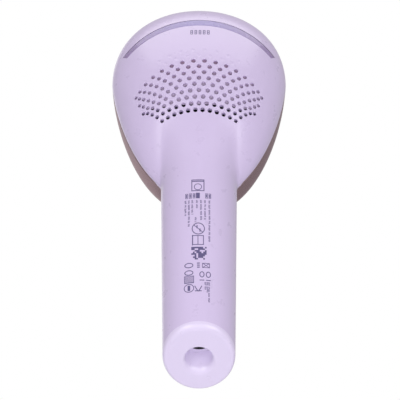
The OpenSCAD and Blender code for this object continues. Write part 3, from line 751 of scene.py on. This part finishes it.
class MESH_OT_head_cover(bpy.types.Operator):
    """Rose metallic cover over the front of the head"""
    bl_idname = "mesh.hair_remover_head_cover"
    bl_label = "Head Cover"

    def execute(self, context):
        def place(u, v):
            around = u * 2 * np.pi
            lip = np.clip(v / 0.06, 0, 1)
            side = np.clip((v - 0.06) / 0.8, 0, 1)
            face = np.clip((v - 0.86) / 0.14, 0, 1)
            q = lip * np.pi / 2
            shrink = np.where(v < 0.06, -0.55 * (1 - np.sin(q)), 0)
            s = np.sin(side * np.pi / 2)
            k = 1 - np.cos(side * np.pi / 2) ** (2 / COVER_N)
            depth = COVER_DEPTH - 0.55
            y = -SEAM_GAP - 0.55 * (1 - np.cos(q)) - depth * s ** (2 / COVER_N)
            ax, az = outline_point(around, shrink)
            bx, bz = collar_point(around, COLLAR_W, COLLAR_H)
            cx, cz = collar_point(around, 20.5, 10.5, 0.28)
            x, z = ax + (bx - ax) * k, az + (bz - az) * k
            return x + (cx - x) * face, y, z + (cz - z) * face

        obj = grid("head_cover_shell", 180, 100, place, around=True)
        face(obj, (0, 0, 1))
        thicken(obj, 2.2)
        clear()
        bpy.ops.mesh.primitive_cone_add(
            vertices=128, radius1=(R_LOW + 0.25) * MM, radius2=(R_TOP + 0.25) * MM,
            depth=(CONE_TOP - CONE_LOW) * MM, location=(0, 0, (CONE_TOP + CONE_LOW) / 2 * MM))
        cut(obj, settle(named("handle_tool")),
            flat_outline("tool", rounded_points(7.2, 3, 1.49, z=WINDOW_Z - 18.1), NOSE_Y + 10, 20))
        shade(obj, 34)
        finished(obj, "device", finishes["rose"], "rose_cover", "head_cover")
        return {"FINISHED"}


class MESH_OT_seam_tongue(bpy.types.Operator):
    """Dark tongue inside the joint between the back shell and the head cover; its near-black colour is
    painted shade in the seam
    """
    bl_idname = "mesh.hair_remover_seam_tongue"
    bl_label = "Seam Tongue"

    def execute(self, context):
        def place(u, v):
            side = np.round(v * 4) % 4
            x, z = outline_point(u * 2 * np.pi, np.where((side == 1) | (side == 2), -0.42, -3.2))
            return x, np.where(side < 2, -0.78, -0.04), z

        obj = grid("seam_tongue", 180, 4, place, around=True)
        outward(obj)
        clear()
        bpy.ops.mesh.primitive_cone_add(
            vertices=128, radius1=R_LOW * MM, radius2=R_TOP * MM,
            depth=(CONE_TOP - CONE_LOW) * MM, location=(0, 0, (CONE_TOP + CONE_LOW) / 2 * MM))
        cut(obj, settle(named("handle_tool")))
        shade(obj)
        # The near-black finish here is painted shade for the shadowed seam.
        finished(obj, "device", finishes["tongue"], "black_plastic")
        return {"FINISHED"}


class MESH_OT_end_cap(bpy.types.Operator):
    """Slanted end of the handle with the funnel of the power inlet"""
    bl_idname = "mesh.hair_remover_end_cap"
    bl_label = "End Cap"

    def execute(self, context):
        edge = context.scene.hair_remover_sizes.edge / MM

        def place(u, v):
            a = u * 2 * np.pi
            c, s = np.cos(a), np.sin(a)
            step = np.round(v * 40)
            big = handle_r(end_z(handle_r(0) * s, CAP_T))
            q = np.clip((step - 2) / 10, 0, 1) * np.pi / 2
            r_side = big - edge * (1 - np.cos(q))
            d_side = np.where(step < 2, CAP_T - (CAP_T - edge) * step / 2, edge * (1 - np.sin(q)))
            face = np.clip((step - 12) / 6, 0, 1)
            lip = 1.5 - 0.9 * s
            r_face = (big - edge) + (INLET_R + lip - big + edge) * face
            m = np.clip((step - 18) / 6, 0, 1) * np.pi / 2
            r_mouth = INLET_R + lip * (1 - np.sin(m))
            d_mouth = lip * (1 - np.cos(m))
            r = np.where(step <= 12, r_side, np.where(step <= 18, r_face, r_mouth))
            d = np.where(step <= 12, d_side, np.where(step <= 18, 0, d_mouth))
            z = end_z(r * s, d)
            wall = np.clip((step - 24) / 4, 0, 1)
            funnel = np.clip((step - 28) / 4, 0, 1)
            pipe = np.clip((step - 32) / 1, 0, 1)
            out = np.clip((step - 33) / 1, 0, 1)
            back = np.clip((step - 34) / 6, 0, 1)
            start = end_z(INLET_R * s, lip)
            z = np.where(step > 24, start + (SEAT_Z - start) * wall, z)
            r = np.where(step > 28, INLET_R - (INLET_R - BARREL_R) * funnel, r)
            z = np.where(step > 28, SEAT_Z + FUNNEL_H * funnel, z)
            z = np.where(step > 32, SEAT_Z + FUNNEL_H + (CAP_TOP - SEAT_Z - FUNNEL_H) * pipe, z)
            boss_r, wall_r = BARREL_R + 5.0, big - 2.3
            r = np.where(step > 33, BARREL_R + (boss_r - BARREL_R) * out, r)
            r = np.where(step > 34, boss_r + (wall_r - boss_r) * back, r)
            z = np.where(step > 34, CAP_TOP + (end_z(wall_r * s, CAP_T) - CAP_TOP) * back, z)
            return r * c, r * s, z

        obj = grid("end_cap_shell", 128, 40, place, around=True)
        pick(obj)
        bpy.ops.object.mode_set(mode="EDIT")
        bpy.ops.mesh.select_all(action="DESELECT")
        bpy.ops.mesh.select_mode(type="EDGE")
        bpy.ops.mesh.select_non_manifold()
        bpy.ops.mesh.bridge_edge_loops()
        bpy.ops.mesh.select_all(action="SELECT")
        bpy.ops.mesh.normals_make_consistent(inside=False)
        bpy.ops.object.mode_set(mode="OBJECT")
        shade(obj, 40)
        # The lighter lilac copy on the end cap is painted light for the end face lit from below.
        finished(obj, "device", finishes["lilac_painted_lit"], "lilac_shell", "end_cap")

        def sleeve(u, v):
            a, corner = u * 2 * np.pi, np.round(v * 4) % 4
            r = np.where((corner == 1) | (corner == 2), 2.9, 3.28)
            return r * np.cos(a), r * np.sin(a), np.where(corner < 2, SEAT_Z + FUNNEL_H + 0.02, 6.45)

        barrel = grid("jack_barrel", 64, 4, sleeve, around=True)
        weld(barrel)
        shade(outward(barrel))
        finished(barrel, "device", finishes["black"], "black_plastic")
        return {"FINISHED"}


class MESH_OT_printed_marks(bpy.types.Operator):
    """Fine printed panel of plain strokes, rings and squares, and a small mark under the light bar"""
    bl_idname = "mesh.hair_remover_printed_marks"
    bl_label = "Printed Marks"

    def execute(self, context):
        parts = []
        spread = np.random.default_rng(7)

        def bar(x, z, w, h, lean=0.0):
            def place(u, v):
                px, pz = (u - 0.5) * w, (v - 0.5) * h
                gx = x + px * math.cos(lean) - pz * math.sin(lean)
                gz = z + px * math.sin(lean) + pz * math.cos(lean)
                return gx, back_y(gx, gz) + 0.02, gz
            parts.append(grid("mark", max(1, round(w)), max(1, round(h / 2)), place))

        def ring(x, z, rx, rz, thick):
            def place(u, v):
                a = u * 2 * np.pi
                gx, gz = x + (rx - thick * v) * np.cos(a), z + (rz - thick * v) * np.sin(a)
                return gx, back_y(gx, gz) + 0.02, gz
            parts.append(grid("mark", 40, 1, place, around=True))

        def outline(x, z, w, h, thick):
            for side in (-1, 1):
                bar(x + side * (w - thick) / 2, z, thick, h)
                bar(x, z + side * (h - thick) / 2, w - 2 * thick, thick)

        def strokes(x, high, low, width=0.95):
            """A column of short strokes in groups, as fine as a rating panel's print."""
            z, left = high, 4
            while z > low:
                bar(x + spread.uniform(-0.1, 0.1), z, width * spread.uniform(0.7, 1), 0.26)
                left -= 1
                z -= 0.42
                if left == 0:
                    z -= 0.5
                    left = int(spread.integers(3, 8))

        outline(0.5, 79.2, 6.2, 6.0, 0.42)
        bar(0.5, 81.3, 6.2, 0.5)
        ring(0.5, 78.4, 1.9, 1.7, 0.35)
        for x, w in ((5.9, 1.2), (4.1, 1.4), (2.3, 1.2), (-3.6, 1.3), (-5.2, 1.1)):
            outline(x, 73.8, w, 2.6, 0.25)
            bar(x, 73.8, w * 0.4, 1.6)
        bar(0.5, 73.9, 1.8, 2.9)
        for x, high, low in ((6.4, 71.4, 64), (4.8, 71.4, 58.3), (3.2, 71.4, 64.3), (1.0, 71.4, 67.2),
                             (-1.0, 71.4, 60.6), (-2.9, 71.4, 61.7), (-4.95, 71.4, 50.3), (1.6, 62.6, 60.4)):
            strokes(x, high, low)
        ring(0.3, 57.0, 3.1, 3.0, 0.42)
        bar(0.3, 57.0, 5.2, 0.36, 0.72)
        bar(0.9, 57.9, 0.5, 1.6)
        bar(-0.5, 56.2, 0.5, 1.6)
        outline(0.45, 51.2, 5.5, 4.9, 0.38)
        bar(0.45, 51.2, 0.34, 4.6)
        bar(3.0, 51.2, 0.5, 5.3)
        for i in range(9):
            for j in range(8):
                if spread.random() < 0.55:
                    bar(3.2 - 0.8 * i, 47.4 - 0.8 * j, 0.8, 0.8)
        for z in (38.6, 34.9):
            ring(4.7, z, 2.1, 1.3, 0.42)
        for z in (39.6, 38.6, 37.6):
            bar(0.25, z, 1.3, 0.55)
        outline(-3.3, 38.5, 3.6, 2.4, 0.3)
        bar(-3.3, 38.5, 3.9, 0.3, 0.6)
        bar(-3.3, 38.5, 3.9, 0.3, -0.6)
        for i in range(6):
            bar(4.6, 32.9 - 0.55 * i, 4.2, 0.26)
        outline(4.6, 31.6, 4.6, 3.7, 0.25)
        for x in (-1.4, -4.4):
            ring(x, 34.0, 1.2, 1.5, 0.42)
            bar(x, 31.2, 2.2, 0.42)
        ring(4.65, 27.3, 2.4, 2.1, 0.36)
        bar(4.65, 27.3, 1.2, 2.6)
        for lean, x, z in ((0.52, -0.6, 27.0), (-0.52, 1.2, 27.0), (1.5708, 0.3, 25.9)):
            bar(x, z, 0.42, 3.2, lean)
        strokes(-3.0, 30.1, 26.2, 0.8)
        strokes(-3.9, 30.1, 24.6, 0.8)
        strokes(-4.7, 30.1, 20.4, 0.8)
        finished(joined("printed_panel", parts), "device", finishes["ink"], "lilac_shell")

        parts = []
        for i in range(5):
            x = 3.7 - 2.05 * i
            outline(x - 0.1, 160.2, 1.25, 2.9, 0.36)
            bar(x - 0.1, 160.2, 0.6, 0.36)
        finished(joined("light_mark", parts), "device", finishes["ink"], "lilac_shell")
        return {"FINISHED"}


class MESH_OT_dust_screen(bpy.types.Operator):
    """Domed dust screen behind the vents on the ring of the air duct"""
    bl_idname = "mesh.hair_remover_dust_screen"
    bl_label = "Dust Screen"

    def execute(self, context):
        def place(u, v):
            z = 119.6 + 38 * v
            reach = outline_w(z) * 0.84
            x = (2 * u - 1) * reach
            return x, back_y(x, z, -1.1), z

        cloth = grid("cloth", 90, 60, place)
        face(cloth, (0, 1, 0))
        thicken(cloth, 0.5)
        ring = rod("ring", 0, FAN_Z, 15, 15.8, 26, 96)
        cut(ring, rod("tool", 0, FAN_Z, 14, 17, 24, 96))
        round_edges(ring, 0.2, 2)
        obj = joined("dust_screen", [cloth, ring])
        shade(obj)
        finished(obj, "device", finishes["filter"], "pale_plastic", "vent_screen")
        return {"FINISHED"}


class MESH_OT_fan_wheel(bpy.types.Operator):
    """Fan wheel with seven twisted blades on a rounded hub"""
    bl_idname = "mesh.hair_remover_fan_wheel"
    bl_label = "Fan Wheel"

    def execute(self, context):
        hub = rod("hub", 0, FAN_Z, -0.3, 6.7, 8.5, 64)
        round_edges(hub, 0.8, 3)
        parts = [hub, rod("shaft", 0, FAN_Z, -1.8, 0, 1.0, 24)]

        for i in range(7):
            start = 2 * math.pi * i / 7

            def place(u, v):
                r = 8.0 + 10.1 * v
                along = (u - 0.5) * 2
                pitch = np.radians(44 - 14 * v)
                turn = start + along * (4.4 / r) * np.cos(pitch) + 0.22 * v * v
                y = 3.2 + along * 4.0 * np.sin(pitch) + 0.5 * (1 - along**2)
                return r * np.cos(turn), y, FAN_Z + r * np.sin(turn)

            blade = grid("blade", 14, 14, place)
            apply(blade, "SOLIDIFY", thickness=0.8 * MM, offset=0)
            parts.append(blade)
        obj = joined("fan_wheel", parts)
        shade(obj)
        finished(obj, "fan", finishes["dark"], "black_plastic", "fan_rotor")
        return {"FINISHED"}


def coding_holes(y_front, y_back, r):
    """Four holes beside the window for the pins that tell which attachment is on."""
    return [rod("tool", sx * 22.2, WINDOW_Z + sz * 4, y_front, y_back, r, 32)
            for sx in (-1, 1) for sz in (-1, 1)]


class MESH_OT_attachment(bpy.types.Operator):
    """Pull-off attachment with its rounded skin face, floating contact frame and the bezel behind"""
    bl_idname = "mesh.hair_remover_attachment"
    bl_label = "Attachment"

    def execute(self, context):
        body = flat_outline("attachment_body", rounded_points(52, 30, 9, z=WINDOW_Z, steps=16), -39.8, 10.6)
        round_edges(body, 1.4, 4)
        cut(body, flat_outline("tool", rounded_points(38.6, 18.6, 3.3, z=WINDOW_Z), -38.8, 5.7),
            flat_outline("tool", rounded_points(33, 14, 2, z=WINDOW_Z), -39.0, 20),
            ring_plate("tool", -46.4, 10, (47, 25.6, 7.8), (37, 17, 3), 12),
            *coding_holes(-42, -38.8, 1.1))
        shade(body)
        finished(body, "attachment", finishes["white"], "pale_plastic", "attachment_shell")

        contact = ring_plate("skin_frame", -47.9, 4.1, (46.4, 25, 7.5), (37.6, 17.6, 3.3), 16)
        round_edges(contact, 0.9, 4)
        shade(contact)
        finished(contact, "skin_contact", finishes["key"], "pale_plastic", "contact_frame")

        bezel = ring_plate("nose_ring", NOSE_Y, 1.6, (50, 28, 8), (38.2, 18.2, 3), 16)
        round_edges(bezel, 0.45, 3)
        cut(bezel, *coding_holes(NOSE_Y - 3, NOSE_Y + 2, 0.8))
        shade(bezel)
        finished(bezel, "device", finishes["bezel"], "bezel_gold", "nose_bezel")
        return {"FINISHED"}


def pressed_key(name, half_w, half_h, power, middle, proud, dish, back, edge=0.7):
    """A key whose face follows the handle, with a dish and a rounded edge."""
    def place(u, v):
        a = u * 2 * np.pi
        step = np.round(v * 30)
        s = np.where(step <= 20, step / 20, 1.0)
        x = half_w * s * sign_pow(np.sin(a), power)
        z = middle + half_h * s * sign_pow(np.cos(a), power)
        face = -np.sqrt(np.clip((handle_r(z) + proud) ** 2 - x * x, 1, None))
        small = min(half_w, half_h)
        near = np.clip((s * small - (small - edge)) / edge, 0, 1)
        face = face + dish * np.cos(np.clip(s / 0.86, 0, 1) * np.pi / 2) ** 2
        face = face + edge * (1 - np.sqrt(np.clip(1 - near * near, 0, 1)))
        wall = np.clip((step - 20) / 6, 0, 1)
        base = np.clip((step - 26) / 4, 0, 1)
        y = face + (back - face) * wall
        return x * (1 - base), y, middle + (z - middle) * (1 - base)

    obj = grid(name, 96, 30, place, around=True)
    outward(obj)
    shade(obj, 40)
    return obj


class MESH_OT_keys(bpy.types.Operator):
    """Dished trigger and the two round keys"""
    bl_idname = "mesh.hair_remover_keys"
    bl_label = "Keys"

    def execute(self, context):
        trigger = pressed_key("trigger_key", 7, 8.5, 0.42, TRIGGER_Z, 1.7, 0.9, -12.0)
        finished(trigger, "trigger", finishes["trigger"], "trigger_violet", "trigger_button")
        for name, r, z, proud, body, node in (("power_key_cap", 5, POWER_Z, 0.5, "power_key", "power_button"),
                                              ("confirm_key_cap", 3.4, CONFIRM_Z, 0.4, "confirm_key",
                                               "confirm_button")):
            key = pressed_key(name, r, r, 1.0, z, proud, 0.35, -13.2, 0.5)
            stem = rod("stem", 0, z, -13.3, -11.4, 1.5, 32)
            finished(joined(name, [key, stem]), body, finishes["key"], "pale_plastic", node)
        return {"FINISHED"}


def coil(name, x, z, y_start, y_end, r, wire, turns):
    """Round wire wound about a line along Y."""
    def place(u, v):
        a, b = u * turns * 2 * np.pi, v * 2 * np.pi
        flat = np.clip(u * turns / 0.8, 0, 1) * np.clip((1 - u) * turns / 0.8, 0, 1)
        y = y_start + wire + (y_end - y_start - 2 * wire) * u
        out = r - wire + wire * np.cos(b)
        return x + out * np.cos(a), y + wire * np.sin(b) * (0.6 + 0.4 * flat), z + out * np.sin(a)

    obj = grid(name, int(28 * turns), 8, place)
    weld(obj)
    pick(obj)
    bpy.ops.object.mode_set(mode="EDIT")
    bpy.ops.mesh.select_mode(type="EDGE")
    bpy.ops.mesh.select_all(action="DESELECT")
    bpy.ops.mesh.select_non_manifold()
    bpy.ops.mesh.edge_face_add()
    bpy.ops.object.mode_set(mode="OBJECT")
    outward(obj)
    return shade(obj, 60)


class MESH_OT_springs(bpy.types.Operator):
    """Wound springs of the trigger and of the skin contact frame"""
    bl_idname = "mesh.hair_remover_springs"
    bl_label = "Springs"

    def execute(self, context):
        spring = coil("trigger_coil", 0, TRIGGER_Z, -17, -13.4, 3.0, 0.24, 4)
        finished(spring, "device", finishes["spring"], "steel", "trigger_spring")
        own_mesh(spring)
        coils = [coil("coil", sx * 18.4, WINDOW_Z + sz * 10.7, -47.9, -46.4, 1.3, 0.14, 3)
                 for sx in (-1, 1) for sz in (-1, 1)]
        springs = joined("contact_coils", coils)
        finished(springs, "attachment", finishes["spring"], "steel", "contact_springs")
        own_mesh(springs)
        return {"FINISHED"}


# ---- Stage ----


class SCENE_OT_hair_remover_stage(bpy.types.Operator):
    """Pale floor, soft lights and the camera"""
    bl_idname = "scene.hair_remover_stage"
    bl_label = "Stage"

    def execute(self, context):
        scene = context.scene
        world = bpy.data.worlds.new("studio")
        world.use_nodes = True
        tree = world.node_tree
        soft, plain = tree.nodes["Background"], tree.nodes.new("ShaderNodeBackground")
        soft.inputs["Color"].default_value = (1.0, 0.99, 1.0, 1)
        soft.inputs["Strength"].default_value = 0.47
        plain.inputs["Strength"].default_value = 1.0
        plain.inputs["Color"].default_value = (1, 1, 1, 1)
        seen, mixed = tree.nodes.new("ShaderNodeLightPath"), tree.nodes.new("ShaderNodeMixShader")
        for a, b in ((seen.outputs["Is Camera Ray"], mixed.inputs[0]), (soft.outputs[0], mixed.inputs[1]),
                     (plain.outputs[0], mixed.inputs[2]),
                     (mixed.outputs[0], tree.nodes["World Output"].inputs[0])):
            tree.links.new(a, b)
        scene.world = world
        scene.view_settings.view_transform = "Standard"

        clear()
        bpy.ops.mesh.primitive_plane_add(size=12, location=(0, 0, -0.32))
        floor = named("floor")
        n = Nodes("studio_floor")
        n.colour(n.blend(n.span(n.noise(3.0), 0, 1), (0.82, 0.82, 0.84), (0.86, 0.86, 0.88)))
        n.roughness(n.span(n.noise(30.0), 0.55, 0.65))
        floor.data.materials.append(n.material)
        settle(floor)

        def lamp(name, at, aim, width, height, power, colour=(1, 1, 1)):
            data = bpy.data.lights.new(name, "AREA")
            data.shape = "RECTANGLE"
            data.size, data.size_y, data.energy, data.color = width, height, power, colour
            obj = bpy.data.objects.new(name, data)
            scene.collection.objects.link(obj)
            obj.location = at
            obj.rotation_euler = (Vector(aim) - Vector(at)).to_track_quat("-Z", "Y").to_euler()
            obj.visible_camera = False

        lamp("overhead", (0.0, 0.3, 1.0), (0, 0, 0.12), 1.5, 0.9, 6.5)
        lamp("under", (0.0, 0.4, -0.3), (0, 0, 0.0), 1.2, 0.5, 2.5)
        lamp("left", (0.45, 0.69, -0.2), (0, 0, 0.11), 0.3, 0.3, 1.2)
        lamp("right", (-0.45, 0.69, -0.2), (0, 0, 0.11), 0.3, 0.3, 1.2)
        lamp("front", (0.2, -1.0, 0.5), (0, 0, 0.1), 0.9, 0.9, 1.4)

        data = bpy.data.cameras.new("camera")
        camera = bpy.data.objects.new("camera", data)
        scene.collection.objects.link(camera)
        tilt = math.radians(24)
        aim = Vector((-0.0005, 0, 0.0797))
        camera.location = aim + 0.8 * Vector((0, math.cos(tilt), -math.sin(tilt)))
        camera.rotation_euler = (aim - camera.location).to_track_quat("-Z", "Y").to_euler()
        data.sensor_width, data.lens = 36, 36 * 800 / 194.5
        data.clip_start, data.clip_end = 0.01, 50
        scene.camera = camera
        return {"FINISHED"}


CAD_FINISHES = {
    "white": ("lamp_leads",),
    "pale": ("inner_chassis", "capacitor_clip", "trigger_stem"),
    "black": ("fan_frame", "dc_jack", "trigger_switch", "power_switch", "confirm_switch", "snout_gasket"),
    "dark": ("board_components", "skin_sensor"),
    "duct": ("air_duct",),
    "phenolic": ("lamp_housing", "snout_frame"),
    "board": ("main_board", "ui_board", "ready_led_board"),
    "lamp_chip": ("ready_leds", "ui_leds"),
    "steel": ("chassis_screws", "fan_screws", "board_screws", "lamp_electrodes", "jack_pin"),
    "alloy": ("heatsink",),
    "mirror": ("reflector", "attachment_mirror"),
    "gold": ("coding_pins", "coding_pads"),
    "copper": ("charging_transformer",),
    "igniter": ("igniter_transformer",),
    "sleeve": ("storage_capacitor",),
    "quartz": ("flash_lamp",),
    "amber": ("filter_glass",),
    "window": ("exit_glass", "attachment_window"),
    "lens": ("indicator_lens",),
    "silicone": ("lamp_holders",),
    "rubber": ("jack_seal",),
    "red_wire": ("dc_leads", "fan_lead", "ready_lead"),
    "flat_cable": ("ui_cable",),
}


class OBJECT_OT_hair_remover_finishes(bpy.types.Operator):
    """Gives each inner part its own finish"""
    bl_idname = "object.hair_remover_finishes"
    bl_label = "Inner Finishes"

    def execute(self, context):
        for finish, nodes in CAD_FINISHES.items():
            for node in nodes:
                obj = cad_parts[node]
                obj.data.materials.clear()
                obj.data.materials.append(finishes[finish])
        return {"FINISHED"}


class VIEW3D_PT_hair_remover(bpy.types.Panel):
    bl_label = "Hair Remover"
    bl_idname = "VIEW3D_PT_hair_remover"
    bl_space_type = "VIEW_3D"
    bl_region_type = "UI"
    bl_category = "Hair Remover"

    def draw(self, context):
        for group in (context.scene.hair_remover_sizes, context.scene.hair_remover_look):
            for key in group.__annotations__:
                self.layout.prop(group, key)
        for operator in OPERATORS:
            self.layout.operator(operator.bl_idname)


OPERATORS = (
    SCENE_OT_hair_remover_stage, MESH_OT_back_shell, MESH_OT_light_bar, MESH_OT_handle_front,
    MESH_OT_head_cover, MESH_OT_seam_tongue, MESH_OT_end_cap, MESH_OT_printed_marks, MESH_OT_dust_screen,
    MESH_OT_fan_wheel, MESH_OT_attachment, MESH_OT_keys, MESH_OT_springs, OBJECT_OT_hair_remover_finishes,
)
CLASSES = (HairRemoverSizes, HairRemoverLook, *OPERATORS, VIEW3D_PT_hair_remover)


def register():
    for c in CLASSES:
        bpy.utils.register_class(c)
    bpy.types.Scene.hair_remover_sizes = PointerProperty(type=HairRemoverSizes)
    bpy.types.Scene.hair_remover_look = PointerProperty(type=HairRemoverLook)


def unregister():
    del bpy.types.Scene.hair_remover_look
    del bpy.types.Scene.hair_remover_sizes
    for c in reversed(CLASSES):
        bpy.utils.unregister_class(c)


def main():
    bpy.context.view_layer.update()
    register()
    finishes.update(make_finishes(bpy.context.scene.hair_remover_look))
    for operator in OPERATORS:
        group, name = operator.bl_idname.split(".")
        getattr(getattr(bpy.ops, group), name)()
    clear()


if __name__ == "__main__":
    main()
